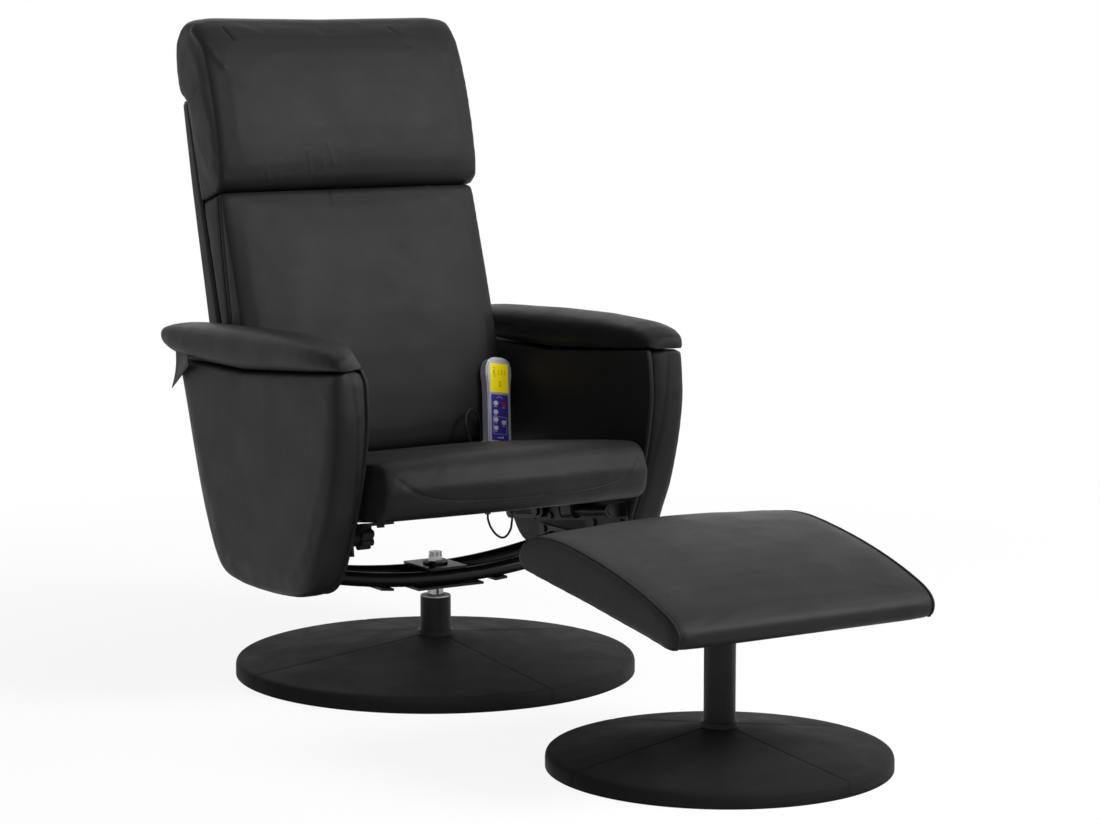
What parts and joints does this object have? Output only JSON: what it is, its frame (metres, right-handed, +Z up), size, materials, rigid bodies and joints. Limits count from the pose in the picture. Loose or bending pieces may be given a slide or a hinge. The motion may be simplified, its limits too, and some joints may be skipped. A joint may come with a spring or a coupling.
{
  "type": "reflexology chair",
  "caption": "Padded reclining armchair on a swivelling round base, with a tilted footstool and a wired hand control for its massage motors.",
  "frame": {"origin": "centre of the underside of the chair's round base, on the floor", "axes": "+Z up, the sitter faces -Y towards the footstool, +X to the right seen from the front"},
  "size_m": [0.65, 1.439, 1.0393],
  "materials": {
    "leatherette": "soft satin, fine grain",
    "board": "raw board",
    "black_steel": "gloss black",
    "chrome": "polished",
    "screw_steel": "blackened",
    "bar_steel": "satin black",
    "motor_steel": "satin",
    "bush_plastic": "satin",
    "black_plastic": "satin",
    "dust_cloth": "matt",
    "lead_rubber": "satin",
    "grey_plastic": "satin",
    "yellow_panel": "satin",
    "blue_panel": "satin",
    "circuit_board": "satin",
    "red_key": "satin",
    "white_key": "satin"
  },
  "bodies": {
    "chair_base": {"base_disc": "board", "base_cover": "leatherette", "base_collar": "black_plastic", "column_sleeve": "black_steel", "column_screws": "screw_steel", "column_bushes": "bush_plastic"},
    "chair_frame": {"spindle": "chrome", "spindle_nut": "chrome", "yoke_front_tube": "black_steel", "yoke_rear_tube": "black_steel", "yoke_plates": "black_steel", "yoke_end_plates": "black_steel", "frame_fasteners": "screw_steel", "arm_boards": "board", "arm_linings": "leatherette", "arm_cushion_left": "leatherette", "arm_cushion_right": "leatherette", "arm_pad_left": "leatherette", "arm_pad_right": "leatherette", "pivot_bushes": "bush_plastic", "slide_brackets": "black_steel", "guide_bar": "bar_steel"},
    "knob": {"star_knob": "black_plastic"},
    "back": {"back_board": "board", "back_cushion": "leatherette", "head_pillow": "leatherette", "back_cover": "leatherette", "back_brackets": "black_steel", "bracket_screws": "screw_steel", "back_motors": "motor_steel"},
    "seat": {"seat_board": "board", "seat_cushion": "leatherette", "seat_cloth": "dust_cloth", "seat_hangers": "black_steel", "slide_hook": "black_steel", "seat_screws": "screw_steel", "seat_motors": "motor_steel", "control_box": "black_plastic", "power_inlet": "motor_steel", "harness_loop": "lead_rubber", "lead_glands": "lead_rubber", "remote_back": "grey_plastic", "remote_front": "grey_plastic", "remote_screen": "yellow_panel", "remote_keypad": "blue_panel", "remote_board": "circuit_board", "remote_lead": "lead_rubber"},
    "power_key": {"key_power": "red_key"},
    "head_key": {"key_head": "white_key"},
    "back_key": {"key_back": "white_key"},
    "seat_key": {"key_seat": "white_key"},
    "level_key": {"key_level": "white_key"},
    "timer_key": {"key_timer": "white_key"},
    "footstool": {"stool_disc": "board", "stool_cover": "leatherette", "stool_collar": "black_plastic", "stool_column": "black_steel", "stool_screws": "screw_steel", "stool_board": "board", "stool_cushion": "leatherette"}
  },
  "joints": [
    {"name": "seat_swivel", "type": "hinge", "parent": "chair_base", "child": "chair_frame", "pos_m": [0, 0, 0], "axis": [0, 0, 1], "continuous": true},
    {"name": "back_recline", "type": "hinge", "parent": "chair_frame", "child": "back", "pos_m": [0, 0.19851, 0.40987], "axis": [-1, 0, 0], "range_deg": [0, 32]},
    {"name": "seat_glide", "type": "slide", "parent": "chair_frame", "child": "seat", "axis": [0, -0.9903, 0.1392], "range_m": [0, 0.0772]},
    {"name": "knob_turn", "type": "hinge", "parent": "chair_frame", "child": "knob", "pos_m": [-0.22, -0.15057, 0.25797], "axis": [1, 0, 0], "range_deg": [-180, 180]},
    {"name": "power_press", "type": "slide", "parent": "seat", "child": "power_key", "axis": [0, 0.9563, -0.2924], "range_m": [0, 0.001], "stiffness_N_per_m": 400, "springref_m": -0.0005},
    {"name": "head_press", "type": "slide", "parent": "seat", "child": "head_key", "axis": [0, 0.9563, -0.2924], "range_m": [0, 0.001], "stiffness_N_per_m": 400, "springref_m": -0.0005},
    {"name": "back_press", "type": "slide", "parent": "seat", "child": "back_key", "axis": [0, 0.9563, -0.2924], "range_m": [0, 0.001], "stiffness_N_per_m": 400, "springref_m": -0.0005},
    {"name": "seat_press", "type": "slide", "parent": "seat", "child": "seat_key", "axis": [0, 0.9563, -0.2924], "range_m": [0, 0.001], "stiffness_N_per_m": 400, "springref_m": -0.0005},
    {"name": "level_press", "type": "slide", "parent": "seat", "child": "level_key", "axis": [0, 0.9563, -0.2924], "range_m": [0, 0.001], "stiffness_N_per_m": 400, "springref_m": -0.0005},
    {"name": "timer_press", "type": "slide", "parent": "seat", "child": "timer_key", "axis": [0, 0.9563, -0.2924], "range_m": [0, 0.001], "stiffness_N_per_m": 400, "springref_m": -0.0005},
    {"name": "stool_shift", "type": "slide", "parent": "chair_base", "child": "footstool", "axis": [0, -1, 0], "range_m": [-0.1, 0.35]}
  ],
  "couplings": [
    {"joint": "seat_glide", "follows": "back_recline", "m_per_rad": 0.1382}
  ]
}
